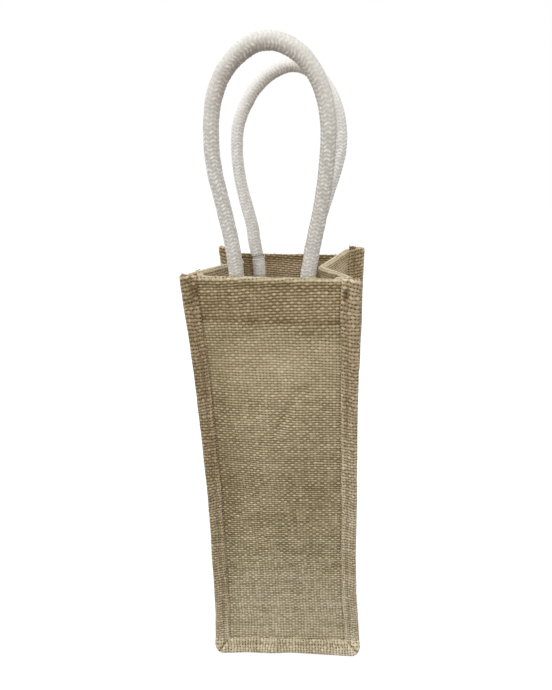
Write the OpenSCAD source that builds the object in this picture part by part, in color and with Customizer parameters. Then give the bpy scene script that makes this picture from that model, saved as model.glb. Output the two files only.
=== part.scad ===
// Bottle carrier: a tall narrow bag of coarse cloth with bound seams and two rope handles.
// Its front faces -Y, it stands on Z = 0, and the origin is in the middle of its base.

/* [Bag] */
// Width of the bag between its side seams
bag_w = 98; // [80:1:140]
// Depth of the bag between its front and back panels
bag_d = 100; // [80:1:140]
// Height of the bag up to its rim
bag_h = 350; // [250:5:450]
// Thickness of the cloth
cloth_t = 1.2; // [0.8:0.1:1.6]
// How far the crease of each side leans in at the mouth
crease_in = 12; // [4:1:15]

/* [Hem] */
// Depth of the hem that is turned in at the mouth
hem_h = 32; // [26:1:45]
// Height of the hem's stitching over the hem's lower edge
hem_row_up = 3; // [1.5:0.5:4]

/* [Binding] */
// Width of the binding round the front and back panels
band_w = 12.5; // [10:0.5:16]
// Distance from the binding's outer edge to its stitching
band_row_in = 8; // [5:0.5:8.5]
// Angle by which the bottom seam flares out of the wall
flare_deg = 35; // [15:1:50]
// Radius of the binding's bottom corners
corner_r = 5; // [3:0.5:8]

/* [Handles] */
// Diameter of the rope
rope_d = 10.5; // [8:0.5:12]
// Diameter of the filler inside the rope's braid
core_d = 5; // [3:0.5:6]
// Distance between the two legs of a handle at the rim
leg_gap = 48; // [38:1:56]
// Distance between the centre lines of a handle at its widest
loop_w = 80; // [60:1:84]
// Height over the rim at which a handle is widest
widest_rise = 88; // [60:1:110]
// Height of a handle's centre line over the rim
loop_rise = 145; // [125:1:180]
// Length of rope that is sewn inside the hem
tail_l = 22; // [15:1:22]

/* [Thread] */
// Width of a row of stitching
thread_w = 0.9; // [0.6:0.1:1.2]
// Height of a row of stitching over the cloth
thread_t = 0.5; // [0.3:0.1:0.7]

/* [Hidden] */

jute = [0.69, 0.60, 0.45];
jute_dark = [0.62, 0.52, 0.38];
jute_thread = [0.78, 0.70, 0.55];
cotton = [0.90, 0.88, 0.84];
filler = [0.84, 0.82, 0.78];

// Gap between the rope and the hem that it lies against
seat_gap = 0.4;
// Gap between the rope's filler and its braid, and between a tack and the rope
core_gap = 0.1;
// Gap between the ends of two hems that meet in a corner
hem_gap = 0.6;
// Free height between a handle's foot and the sewn end under it, where the rope bends
bend_gap = 3.6;
// How far a cut runs past what it cuts
overrun = 1;

// Inner faces of the front and back panels, and the side seams
wall_y = bag_d / 2;
seam_x = bag_w / 2;
// Outer edge of the binding
edge_x = seam_x + band_w;
// The bottom seam stands on its flared edge
seam_z = band_w * cos(flare_deg);
floor_z = seam_z + cloth_t;
hem_z = bag_h - hem_h;
hem_row_z = hem_z + hem_row_up;
hem_half = seam_x - cloth_t - hem_gap;
hem_y = wall_y - cloth_t;

// A handle turns about the middle of the folded rim, and its foot is level with it
pivot_z = bag_h - cloth_t;
rope_r = rope_d / 2;
rope_y = hem_y - seat_gap - rope_r;
leg_x = leg_gap / 2;
tail_top = pivot_z - bend_gap;
tail_z = tail_top - tail_l;

side_rows = 8;
leg_rings = 7;
arch_rings = 9;
rope_sides = 12;
$fn = 48;

// Height of the bend in a layer that lies off outside the inner face of the panel
function bend_z(off) = seam_z + off * tan(flare_deg / 2);

// Distance of that layer from the bag's middle plane at height z
function face_y(off, z) = wall_y + off + max(0, bend_z(off) - z) * tan(flare_deg);

// Section of a layer of the back wall between two offsets and two heights
function layer_points(off_in, off_out, z_low, z_high) = [
  [face_y(off_in, z_low), z_low],
  [face_y(off_out, z_low), z_low],
  if (z_low < bend_z(off_out) && bend_z(off_out) < z_high) [wall_y + off_out, bend_z(off_out)],
  [face_y(off_out, z_high), z_high],
  [face_y(off_in, z_high), z_high],
  if (z_low < bend_z(off_in) && bend_z(off_in) < z_high) [wall_y + off_in, bend_z(off_in)]
];

// Distance of a side layer from the bag's middle plane at depth y and height z
function side_x(off, y, z) =
  seam_x + off - crease_in * (1 - abs(y) / wall_y) * (z - floor_z) / (bag_h - floor_z);

// Triangles of a closed slab whose outer and inner faces are grids of rows by cols points
function slab_faces(rows, cols) = let (n = rows * cols) [
  for (r = [0 : rows - 2], c = [0 : cols - 2])
    let (a = r * cols + c, b = a + 1, d = a + cols, e = d + 1)
      each [[a, d, e], [a, e, b], [n + a, n + e, n + d], [n + a, n + b, n + e]],
  for (a = [0 : cols - 2]) let (b = a + 1) each [[a, b, n + b], [a, n + b, n + a]],
  for (c = [0 : cols - 2]) let (d = n - cols + c, e = d + 1) each [[e, d, n + d], [e, n + d, n + e]],
  for (r = [0 : rows - 2]) let (a = r * cols, d = a + cols) each [[d, a, n + a], [d, n + a, n + d]],
  for (r = [1 : rows - 1]) let (b = r * cols - 1, e = b + cols) each [[b, e, n + e], [b, n + e, n + b]]
];

// Centre line of a handle in its own plane, from one foot over the crest to the other
half_line = concat(
  [for (i = [0 : leg_rings]) let (share = i / leg_rings)
    [leg_x + (loop_w / 2 - leg_x) * (1 - cos(180 * share)) / 2, widest_rise * share]],
  [for (i = [1 : arch_rings]) let (angle = 90 * i / arch_rings)
    [loop_w / 2 * cos(angle), widest_rise + (loop_rise - widest_rise) * sin(angle)]]
);
last = len(half_line) - 1;
loop_line = concat(half_line, [for (i = [last - 1 : -1 : 0]) [-half_line[i].x, half_line[i].y]]);

// Direction of the centre line at one of its points, taken over its neighbours
function heading(line, k) =
  let (d = line[min(k + 1, len(line) - 1)] - line[max(k - 1, 0)]) d / norm(d);

// Ring of points round the centre line, square to it. Both feet are cut level.
function ring(line, k, r) = let (
  level = k == 0 || k == len(line) - 1,
  h = level ? [0, k == 0 ? 1 : -1] : heading(line, k)
) [for (j = [0 : rope_sides - 1]) let (a = 360 * j / rope_sides)
    [line[k].x + r * cos(a) * h.y, r * sin(a), line[k].y - r * cos(a) * h.x]];

// Number of point j on turn number turn of ring k, where a ring has whole turns of rope_sides points
function at(k, turns, turn, j) = (k * turns + turn) * rope_sides + j % rope_sides;

// Skin of a tube over one turn of its rings' points. It faces outwards, or inwards round a bore.
function skin(count, turns, turn, outwards) = [
  for (k = [0 : count - 2], j = [0 : rope_sides - 1])
    let (a = at(k, turns, turn, j), b = at(k, turns, turn, j + 1))
    let (c = at(k + 1, turns, turn, j + 1), d = at(k + 1, turns, turn, j))
      each outwards ? [[a, b, c], [a, c, d]] : [[a, c, b], [a, d, c]]
];

// Layer of the back wall, flared below its bottom seam
module wall_layer(off_in, off_out, z_low, z_high, half_w) {
  rotate([90, 0, 90])
    linear_extrude(2 * half_w, center = true)
      polygon(layer_points(off_in, off_out, z_low, z_high));
}

// What lies inside the binding's outer edge, less an inset, seen from the front
module outline(inset) {
  rotate([90, 0, 0]) linear_extrude(4 * bag_d, center = true) {
    translate([inset - edge_x, corner_r]) square([2 * (edge_x - inset), bag_h]);
    translate([corner_r - edge_x, inset]) square([2 * (edge_x - corner_r), corner_r]);
    for (side = [-1, 1]) translate([side * (edge_x - corner_r), corner_r]) circle(corner_r - inset);
  }
}

// Layer of the right side, creased down its middle
module side_layer(off_in, off_out, z_low, z_high, half_d) {
  heights = [for (i = [0 : side_rows]) z_low + (z_high - z_low) * i / side_rows];
  depths = [-half_d, 0, half_d];
  polyhedron(
    [for (off = [off_out, off_in], z = heights, y = depths) [side_x(off, y, z), y, z]],
    slab_faces(len(heights), len(depths))
  );
}

// Half round with straight legs towards the hem
module strap_section(r) {
  circle(r);
  translate([-r, 0]) square([2 * r, rope_d]);
}

// Places a piece of the back wall on the front, and one of the right side on the left
module at_front() { mirror([0, 1, 0]) children(); }
module at_left() { mirror([1, 0, 0]) children(); }

// Back panel with its hem turned in over a rolled edge
module back_panel() {
  color(jute) {
    difference() {
      intersection() {
        wall_layer(0, cloth_t, cloth_t, bag_h, edge_x);
        outline(cloth_t);
      }
      translate([-hem_half, wall_y - overrun, pivot_z])
        cube([2 * hem_half, cloth_t + 2 * overrun, bag_h]);
    }
    translate([-hem_half, hem_y, hem_z]) cube([2 * hem_half, cloth_t, pivot_z - hem_z]);
    translate([-hem_half, wall_y, pivot_z]) rotate([0, 90, 0]) cylinder(r = cloth_t, h = 2 * hem_half);
  }
}

module front_panel() { at_front() back_panel(); }

// Right side: its creased wall, the hem inside it and the flanges sewn to the two panels
module right_gusset() {
  color(jute_dark) {
    side_layer(-cloth_t, 0, floor_z, bag_h, wall_y);
    side_layer(-2 * cloth_t, -cloth_t / 2, hem_z, bag_h, hem_y - hem_gap);
    for (face = [0, 1]) mirror([0, face, 0]) intersection() {
      wall_layer(-cloth_t, 0, cloth_t, bag_h, edge_x);
      outline(cloth_t);
      union() {
        translate([seam_x, 0, 0]) cube([band_w, 2 * bag_d, bag_h]);
        translate([seam_x - cloth_t, 0, floor_z]) cube([band_w, bag_d, bag_h]);
      }
    }
  }
}

module left_gusset() { at_left() right_gusset(); }

// Floor with the flanges that go down into the bottom seams
module base_panel() {
  color(jute_dark) {
    translate([-seam_x, -wall_y, seam_z]) cube([bag_w, bag_d, cloth_t]);
    for (face = [0, 1]) mirror([0, face, 0]) wall_layer(-cloth_t, 0, cloth_t, floor_z, seam_x);
  }
}

// Strip folded over the back wall's seams, down both sides and along the bottom
module back_binding() {
  color(jute) difference() {
    intersection() {
      wall_layer(-2 * cloth_t, 2 * cloth_t, 0, bag_h, edge_x);
      outline(0);
    }
    intersection() {
      wall_layer(-cloth_t, cloth_t, cloth_t, bag_h + overrun, edge_x);
      outline(cloth_t);
    }
    translate([-seam_x, 0, seam_z]) cube([bag_w, bag_d, bag_h]);
  }
}

module front_binding() { at_front() back_binding(); }

// Rows of thread on both faces of the back binding
module back_binding_stitching() {
  row_x = edge_x - band_row_in;
  row_z = band_row_in * cos(flare_deg);
  color(jute_thread) for (off = [2 * cloth_t, -2 * cloth_t - thread_t]) difference() {
    wall_layer(off, off + thread_t, row_z - thread_w / 2, bag_h, row_x + thread_w / 2);
    translate([thread_w / 2 - row_x, 0, row_z + thread_w / 2])
      cube([2 * row_x - thread_w, 2 * bag_d, bag_h]);
  }
}

module front_binding_stitching() { at_front() back_binding_stitching(); }

// Rows of thread on both faces of the back hem
module back_hem_stitching() {
  color(jute_thread) for (y = [wall_y + cloth_t, hem_y - thread_t])
    translate([-hem_half, y, hem_row_z - thread_w / 2]) cube([2 * hem_half, thread_t, thread_w]);
}

module front_hem_stitching() { at_front() back_hem_stitching(); }

// Rows of thread on both faces of the right side's hem, cut from the layers next to its two faces
module right_hem_stitching() {
  half_d = wall_y - 2 * cloth_t - hem_gap;
  color(jute_thread) intersection() {
    union() {
      side_layer(0, thread_t, floor_z, bag_h, wall_y);
      side_layer(-2 * cloth_t - thread_t, -2 * cloth_t, hem_z, bag_h, hem_y - hem_gap);
    }
    translate([0, -half_d, hem_row_z - thread_w / 2]) cube([edge_x, 2 * half_d, thread_w]);
  }
}

module left_hem_stitching() { at_left() right_hem_stitching(); }

// Braid of the back handle: a tube along the centre line, round its filler
module back_handle_braid() {
  count = len(loop_line);
  end = count - 1;
  color(cotton) translate([0, rope_y, pivot_z]) polyhedron(
    [for (k = [0 : end], r = [rope_r, core_d / 2 + core_gap]) each ring(loop_line, k, r)],
    concat(
      skin(count, 2, 0, true),
      skin(count, 2, 1, false),
      [for (j = [0 : rope_sides - 1]) each [
        [at(0, 2, 0, j), at(0, 2, 1, j + 1), at(0, 2, 0, j + 1)],
        [at(0, 2, 0, j), at(0, 2, 1, j), at(0, 2, 1, j + 1)],
        [at(end, 2, 0, j), at(end, 2, 0, j + 1), at(end, 2, 1, j + 1)],
        [at(end, 2, 0, j), at(end, 2, 1, j + 1), at(end, 2, 1, j)]
      ]]
    )
  );
}

module front_handle_braid() { at_front() back_handle_braid(); }

// Filler of the back handle
module back_handle_core() {
  count = len(loop_line);
  end = count - 1;
  color(filler) translate([0, rope_y, pivot_z]) polyhedron(
    [for (k = [0 : end]) each ring(loop_line, k, core_d / 2)],
    concat(
      skin(count, 1, 0, true),
      [for (j = [1 : rope_sides - 2]) each [
        [at(0, 1, 0, 0), at(0, 1, 0, j + 1), at(0, 1, 0, j)],
        [at(end, 1, 0, 0), at(end, 1, 0, j), at(end, 1, 0, j + 1)]
      ]]
    )
  );
}

module front_handle_core() { at_front() back_handle_core(); }

// Sewn end of the rope at the right of the back wall: its braid
module back_right_rope_end() {
  color(cotton) translate([leg_x, rope_y, tail_z]) difference() {
    cylinder(d = rope_d, h = tail_l);
    translate([0, 0, -overrun]) cylinder(d = core_d + 2 * core_gap, h = tail_l + 2 * overrun);
  }
}

module back_left_rope_end() { at_left() back_right_rope_end(); }
module front_right_rope_end() { at_front() back_right_rope_end(); }
module front_left_rope_end() { at_front() at_left() back_right_rope_end(); }

// Filler of that end
module back_right_end_core() {
  color(filler) translate([leg_x, rope_y, tail_z]) cylinder(d = core_d, h = tail_l);
}

module back_left_end_core() { at_left() back_right_end_core(); }
module front_right_end_core() { at_front() back_right_end_core(); }
module front_left_end_core() { at_front() at_left() back_right_end_core(); }

// Two straps of thread that hold that end to the hem
module back_right_tack() {
  strap_r = rope_r + core_gap;
  strap_h = 2 * thread_w;
  color(cotton) for (z = [tail_z + rope_r, tail_top - strap_h])
    translate([leg_x, rope_y, z]) linear_extrude(strap_h) intersection() {
      difference() {
        strap_section(strap_r + thread_t);
        strap_section(strap_r);
      }
      translate([-rope_d, -rope_d]) square([2 * rope_d, rope_d + hem_y - rope_y]);
    }
}

module back_left_tack() { at_left() back_right_tack(); }
module front_right_tack() { at_front() back_right_tack(); }
module front_left_tack() { at_front() at_left() back_right_tack(); }

front_panel();
back_panel();
left_gusset();
right_gusset();
base_panel();
front_binding();
back_binding();
front_binding_stitching();
back_binding_stitching();
front_hem_stitching();
back_hem_stitching();
left_hem_stitching();
right_hem_stitching();
front_handle_braid();
front_handle_core();
back_handle_braid();
back_handle_core();
front_left_rope_end();
front_right_rope_end();
back_left_rope_end();
back_right_rope_end();
front_left_end_core();
front_right_end_core();
back_left_end_core();
back_right_end_core();
front_left_tack();
front_right_tack();
back_left_tack();
back_right_tack();
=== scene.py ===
# A tall jute bottle bag with bound seams and two cotton rope handles, dressed round its CAD frame.
import math
import bpy
import numpy as np
from mathutils import Matrix, Vector


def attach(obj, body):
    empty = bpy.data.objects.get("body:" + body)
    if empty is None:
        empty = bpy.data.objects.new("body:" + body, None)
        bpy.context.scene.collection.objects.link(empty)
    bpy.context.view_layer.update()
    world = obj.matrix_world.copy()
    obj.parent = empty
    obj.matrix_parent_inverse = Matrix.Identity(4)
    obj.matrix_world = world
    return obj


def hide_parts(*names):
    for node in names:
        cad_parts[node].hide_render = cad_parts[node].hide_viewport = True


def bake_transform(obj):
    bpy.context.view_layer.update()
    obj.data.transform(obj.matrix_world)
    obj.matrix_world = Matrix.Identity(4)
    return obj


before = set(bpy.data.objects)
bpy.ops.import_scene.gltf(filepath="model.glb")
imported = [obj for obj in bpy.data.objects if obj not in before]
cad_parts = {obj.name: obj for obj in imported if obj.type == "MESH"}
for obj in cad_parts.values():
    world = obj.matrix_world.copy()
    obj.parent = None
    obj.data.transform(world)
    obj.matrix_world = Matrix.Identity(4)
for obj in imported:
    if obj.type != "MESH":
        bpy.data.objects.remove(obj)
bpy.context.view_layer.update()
scene = bpy.context.scene
mm = 0.001
dice = np.random.default_rng(11)
print("frame loaded,", len(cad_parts), "parts")

# the camera as the photograph was taken, in millimetres and degrees
shot = {
    "place": (58.1, -394.1, 442.0), "turn": 9.14, "down": 21.88, "roll": -1.79,
    "focalPixels": 530, "imageHeight": 690, "sensor": 36,
}


def placeCamera(shot):
    turn, down, roll = (math.radians(shot[word]) for word in ("turn", "down", "roll"))
    ahead = Vector((0, math.cos(down), -math.sin(down)))
    over = Vector((0, math.sin(down), math.cos(down)))
    side = Vector((1, 0, 0)) * math.cos(roll) + over * math.sin(roll)
    over = over * math.cos(roll) - Vector((1, 0, 0)) * math.sin(roll)
    axes = Matrix.Rotation(turn, 3, "Z") @ Matrix((side, over, -ahead)).transposed()
    camera = bpy.data.objects.new("camera", bpy.data.cameras.new("camera"))
    camera.data.sensor_width = shot["sensor"]
    camera.data.lens = shot["sensor"] * shot["focalPixels"] / shot["imageHeight"]
    camera.data.clip_start = 0.01
    camera.matrix_world = Matrix.Translation(Vector(shot["place"]) * mm) @ axes.to_4x4()
    scene.collection.objects.link(camera)
    scene.camera = camera


placeCamera(shot)


# curves and waves
def ease(share):
    share = np.clip(share, 0, 1)
    return share * share * (3 - 2 * share)


def after(x, start, length):
    # 0 up to start, easing to 1 over length
    return ease((x - start) / length)


def hump(x, middle, half):
    # 1 in the middle, fading out on both sides
    return np.exp(-((x - middle) / half) ** 2)


def track(knots, values, at):
    # smooth curve through a row of values
    knots, values = np.asarray(knots, float), np.asarray(values, float)
    at = np.clip(at, knots[0], knots[-1])
    slope = np.gradient(values, knots)
    low = np.clip(np.searchsorted(knots, at, side="right") - 1, 0, len(knots) - 2)
    gap = knots[low + 1] - knots[low]
    t = (at - knots[low]) / gap
    rise = values[low] * (1 + 2 * t) * (1 - t) ** 2 + values[low + 1] * t * t * (3 - 2 * t)
    return rise + gap * t * (1 - t) * (slope[low] * (1 - t) - slope[low + 1] * t)


def unit(v):
    return v / np.maximum(np.linalg.norm(v, axis=-1, keepdims=True), 1e-9)


def runOf(*lines):
    # length along a line, from its coordinates
    return np.r_[0, np.cumsum(np.sqrt(sum(np.diff(line) ** 2 for line in lines)))]


def ripple(x, z, sizes, seed):
    # gentle unevenness made of a few crossed waves, about -1 to 1
    wave = np.random.default_rng(seed)
    total = np.zeros(np.broadcast(x, z).shape)
    for size in sizes:
        for _ in range(3):
            way, phase = wave.uniform(0, math.tau), wave.uniform(0, math.tau)
            along = (x * math.cos(way) + z * math.sin(way)) * math.tau
            total = total + np.sin(along / (size * wave.uniform(0.8, 1.25)) + phase)
    return total / (2.2 * len(sizes) ** 0.5)


def places(x, z, rows):
    # soft places, each given by across, height, half length, half width, tilt in degrees and how much
    total = np.zeros(np.broadcast(x, z).shape)
    for across, height, halfLong, halfWide, tilt, much in rows:
        c, s = math.cos(math.radians(tilt)), math.sin(math.radians(tilt))
        p, q = (x - across) * c + (z - height) * s, (z - height) * c - (x - across) * s
        total = total + much * np.exp(-(p / halfLong) ** 2 - (q / halfWide) ** 2)
    return total


# meshes
def gridFaces(rows, cols, start=0, closeCols=False, flip=False):
    r = np.arange(rows - 1)[:, None]
    c = np.arange(cols if closeCols else cols - 1)[None, :]
    a, b = r * cols + c, r * cols + (c + 1) % cols
    quads = [a, a + cols, b + cols, b] if flip else [a, b, b + cols, a + cols]
    return np.stack(quads, -1).reshape(-1, 4) + start


def makePiece(name, points, faces, uv=None, marks=None):
    # points in millimetres, uv in millimetres of cloth: one pair a point, or one a face corner
    mesh = bpy.data.meshes.new(name)
    points = np.asarray(points, float).reshape(-1, 3) * mm
    corners = np.concatenate([np.ravel(f) for f in faces])
    counts = np.concatenate([np.full(len(f), f.shape[1]) for f in faces])
    mesh.vertices.add(len(points))
    mesh.vertices.foreach_set("co", points.astype(np.float32).ravel())
    mesh.loops.add(len(corners))
    mesh.loops.foreach_set("vertex_index", corners.astype(np.int32))
    mesh.polygons.add(len(counts))
    mesh.polygons.foreach_set("loop_start", np.r_[0, np.cumsum(counts)[:-1]].astype(np.int32))
    mesh.polygons.foreach_set("use_smooth", np.ones(len(counts), bool))
    if uv is not None:
        uv = np.asarray(uv, float).reshape(-1, 2) * mm
        uv = uv if len(uv) == len(corners) else uv[corners]
        mesh.uv_layers.new(name="cloth").uv.foreach_set("vector", uv.astype(np.float32).ravel())
    for word, values in (marks or {}).items():
        made = mesh.attributes.new(word, "FLOAT", "POINT")
        made.data.foreach_set("value", np.asarray(values, np.float32).ravel())
    mesh.update(calc_edges=True)
    piece = bpy.data.objects.new(name, mesh)
    scene.collection.objects.link(piece)
    return piece


def clothShell(name, mid, thick, uv, marks):
    # closed cloth of even thickness round a grid of points, rows by columns
    rows, cols = mid.shape[:2]
    n = rows * cols
    out = unit(np.cross(np.gradient(mid, axis=1), np.gradient(mid, axis=0))) * thick / 2
    points = np.concatenate([(mid + out).reshape(-1, 3), (mid - out).reshape(-1, 3)])
    i = np.arange(cols)
    ring = np.concatenate([i, cols * np.arange(2, rows + 1) - 1, n - 2 - i[:-1], cols * np.arange(rows - 2, 0, -1)])
    following = np.roll(ring, -1)
    edge = np.stack([following, ring, ring + n, following + n], -1)
    faces = [gridFaces(rows, cols), gridFaces(rows, cols, n, flip=True), edge]
    marks = {word: np.tile(np.ravel(values), 2) for word, values in marks.items()}
    return makePiece(name, points, faces, np.tile(uv.reshape(-1, 2), (2, 1)), marks)


def tubes(centre, cross, top, radii, sides):
    # a closed tube round each row of points
    count, n = centre.shape[:2]
    spin = np.arange(sides) * math.tau / sides
    ring = np.cos(spin)[:, None] * cross[:, :, None] + np.sin(spin)[:, None] * top[:, :, None]
    rings = centre[:, :, None] + radii[..., None, None] * ring
    starts = np.arange(count) * n * sides
    quads = np.concatenate([gridFaces(n, sides, start, closeCols=True, flip=True) for start in starts])
    caps = np.stack([np.arange(sides), n * sides - 1 - np.arange(sides)])
    return rings.reshape(-1, 3), quads, (starts[:, None, None] + caps).reshape(-1, sides)


# the stance of the empty bag: it is turned a little against its base and draws in at its waist
stance = {
    "heights": [0, 15, 30, 50, 75, 100, 125, 150, 175, 200, 225, 250, 270, 285, 300, 312, 325, 337, 352, 372],
    "halfWidth": [
        66.4, 65.8, 64.8, 63.5, 62.3, 61.7, 61.0, 60.7, 60.4, 60.3,
        60.2, 60.4, 60.5, 60.7, 60.8, 61.1, 61.5, 61.8, 62.4, 61.9,
    ],
    "shift": [
        0.1, 0.0, -0.1, 0.0, -0.1, 0.1, 0.5, 1.2, 1.6, 1.6,
        1.6, 1.7, 1.4, 1.2, 0.8, 0.4, 0.0, -0.1, -0.3, 0.2,
    ],
    "turns": (6.0, -1.5), "middles": ((-1.43, 4.09), (0.46, -1.51)),  # of the base and of the mouth
    # soft swells and creases, as places() takes them
    "front": [
        (0, 180, 34, 110, 0, 2.2), (4, 296, 30, 22, 0, -1.6), (-20, 275, 22, 30, 0, 0.9), (12, 236, 14, 12, 0, 0.9),
        (0, 60, 36, 34, 0, -1.0), (-22.7, 336, 7, 12, 0, 0.7), (25.6, 336, 7, 12, 0, 0.7),
        (6, 246, 20, 3.2, 63, -1.2), (23, 269.5, 12, 3.2, 27, -0.9),
    ],
    "back": [
        (0, 170, 34, 110, 0, 2.6), (0, 300, 30, 24, 0, -1.4), (-26, 334, 7, 12, 0, 0.7), (16.8, 334, 7, 12, 0, 0.7),
    ],
    "crumple": (0.35, (60, 34, 19)), "sideCrumple": (0.3, (70, 40)),  # how much, and how wide its waves are
    "frontRimRise": (2.0, 1.3), "rimRiseUp": ((300, 50), (351, 12)),  # at its left and right end; comes in and fades
    "frontFoot": (2.2, 1.0, 3.6), "footUp": 16,  # how far the bottom band spreads: left, middle and right
    "turnedAt": 320, "movedAt": 330,  # heights by which the mouth has its turn and its place
    "faceFrom": (30, 18), "straightFrom": (52, 14),  # from the middle: the front and the back, and the bindings
    "cadHalf": 61.5,  # outer edge of the binding in the CAD
}


def settle(points):
    # takes points from the straight CAD bag to the bag as it stands
    x, y, z = np.moveaxis(np.asarray(points, float), -1, 0)
    edge, fade = stance["straightFrom"]
    free = ease((edge - np.abs(x)) / fade)  # the bindings stay straight
    toFront, toBack = after(-y, *stance["faceFrom"]), after(y, *stance["faceFrom"])
    much, sizes = stance["crumple"]
    crumple = much * ripple(x, z, sizes, 5)
    y = y - toFront * (places(x, z, stance["front"]) * free + crumple)
    y = y + toBack * (places(x, z, stance["back"]) * free + crumple)
    y = y - toFront * np.interp(x, (-60, 0, 60), stance["frontFoot"]) * (1 - after(z, 0, stance["footUp"]))
    rise = np.interp(x, (-50, 50), stance["frontRimRise"]) * ease((35 - y) / 70)
    comes, fades = stance["rimRiseUp"]
    rise = rise * after(z, *comes) * (1 - after(z, *fades))
    x = x * track(stance["heights"], stance["halfWidth"], z) / stance["cadHalf"]
    x = x + track(stance["heights"], stance["shift"], z)
    much, sizes = stance["sideCrumple"]
    x = x + much * ripple(y, z, sizes, 9) * after(z, 0, 30)
    base, mouth = stance["turns"]
    turn = np.radians(base + (mouth - base) * after(z, 0, stance["turnedAt"]))
    base, mouth = np.array(stance["middles"])
    middle = base + (mouth - base) * after(z, 0, stance["movedAt"])[..., None]
    across = x * np.cos(turn) - y * np.sin(turn) + middle[..., 0]
    return np.stack([across, x * np.sin(turn) + y * np.cos(turn) + middle[..., 1], z + rise], -1)


# section of a panel, from the bottom edge of its binding up to the rim
wall = {
    "seam": 49.0, "edge": 60.2, "depth": 50.0, "band": 12.5, "flare": 35.0, "flareUp": (10.5, 4), "cloth": 1.2,
    "lift": 0.45, "top": 350.0, "hem": 31.0, "hemRow": 321.0, "roll": 1.25, "seamDip": 0.45, "backSink": 4.4,
    "layerGap": 0.1, "ruffle": 0.25, "weftSlope": (0.02, 0.045), "hemHalf": 48, "columns": (47.0, 48.6),
    # start and length of the rim's ruffle, of the back's sunk mouth, up and from the middle, and of the weft's slope
    "ruffleUp": (338, 12), "backSinkUp": (292, 56), "backSinkSide": (55.5, 8), "weftSlopeUp": (298, 26),
}
stepUp = 0.25
upSteps = np.arange(0, 380, stepUp)
lean = np.radians(wall["flare"]) * (1 - after(upSteps, *wall["flareUp"]))


def addUp(rates):
    return np.r_[0, np.cumsum((rates[1:] + rates[:-1]) / 2 * stepUp)]


wallOut = wall["depth"] + addUp(np.sin(lean))[-1] - addUp(np.sin(lean))
wallUp = wall["lift"] + addUp(np.cos(lean))


def wallPoint(a, b, off, face):
    # a across, b up the cloth from the bottom edge, off outwards from the panel's inner face, face -1 front or 1 back
    tilt = np.interp(b, upSteps, lean)
    out = np.interp(b, upSteps, wallOut) + off * np.cos(tilt)
    up = np.interp(b, upSteps, wallUp) + off * np.sin(tilt)
    a, out, up = np.broadcast_arrays(a, out, up)
    return np.stack([a, face * out, up], -1)


def upOf(z):
    return np.interp(z, wallUp, upSteps)


rimUp = upOf(wall["top"] - wall["roll"] - wall["cloth"] / 2)


def rollPath(outer, inner, roll):
    # outer leg, rolled edge and hem: heights up the cloth, offsets, length along the cloth and depth in the hem
    leg = np.r_[np.linspace(0, 1, 150)[:-1] * (rimUp - 10 - 1.3) + 1.3, np.linspace(rimUp - 10, rimUp, 13)[:-1]]
    turn = np.linspace(0, math.pi, 10)
    down = np.r_[np.linspace(0, 8, 9)[1:], np.linspace(8, wall["hem"], 14)[1:]]
    middle = (outer + inner) / 2
    ups = np.r_[leg, rimUp + roll * np.sin(turn), rimUp - down]
    legOffs = outer + (middle + roll - outer) * after(leg, rimUp - 6, 6)
    hemOffs = inner + (middle - roll - inner) * (1 - after(down, 0, 6))
    offs = np.r_[legOffs, middle + roll * np.cos(turn), hemOffs]
    return ups, offs, runOf(ups, offs) + ups[0], np.r_[np.zeros(len(leg) + len(turn)), down]


juteTones = {
    # how light the plain cloth is, and how much lighter or darker its parts are
    # roll: painted highlight on the rolled rim, with its cooler colour; underRoll: painted shade just below it
    "plain": 0.543, "uneven": 0.02, "foot": 0.06, "floor": 0.02, "hem": -0.04, "roll": 0.15, "underRoll": -0.06,
    # inside: painted light on the hem's inner face; hemRow, sideSeam and bottomSeam: painted shade along the hem's
    # stitch row and beside the bindings
    "inside": 0.16, "hemRow": (-0.12, -0.07), "sideSeam": -0.08, "bottomSeam": -0.14,
    # how warm it is, how evenly its yarns lie and how much clearer they stand out
    "warm": {"plain": 0.28, "hem": 0.34, "foot": -0.26, "roll": -0.6, "inside": 0.35},
    "even": {"plain": 0.26, "underHem": 0.14, "foot": 0.30, "roll": 0.2, "uneven": 0.08},
    "crisp": {"foot": 0.62, "underHem": -0.32, "roll": -0.5},
    # where they are: start and length of a change, or middle and half width of a stripe
    "at": {
        "hem": (316, 5), "foot": (30, 160), "floor": (8, 30), "roll": (346.5, 2.5), "underRoll": (344.5, 1.6),
        "hemRow": (320.4, 1.7), "sideSeam": (48.3, 0.8), "bottomSeam": (12.6, 0.9), "crispFoot": (60, 220),
        "crispUnderHem": (290, 24), "evenUnderHem": (285, 28), "evenFoot": (20, 140),
    },
    # lighter and darker places, as places() takes them; the front's rows tilted 63 and 27 degrees darken its creases,
    # painted shade
    "front": [
        (30, 313, 14, 3.4, 0, -0.09), (-12, 318, 7, 3, 0, -0.05), (20, 334, 8, 9, 0, 0.05),
        (-47, 170, 150, 17, 90, -0.05), (7, 288, 34, 16, 90, 0.05), (28, 262, 22, 9, 90, 0.035),
        (5, 250, 26, 13, 90, 0.035), (6, 246, 18, 3.0, 63, -0.10), (23, 269.5, 11, 3.0, 27, -0.08),
        (-32, 312, 9, 3, 0, -0.05), (2, 284, 40, 20, 0, 0.03), (-42, 190, 105, 8, 89, -0.06),
        (4, 150, 34, 30, 0, -0.03), (31, 175, 46, 10, 86, -0.04), (0, 40, 45, 18, 0, 0.03),
    ],
    "back": [(-10, 230, 30, 22, 30, 0.03), (14, 120, 24, 16, -20, -0.03), (0, 40, 45, 20, 0, 0.03)],
}


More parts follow.
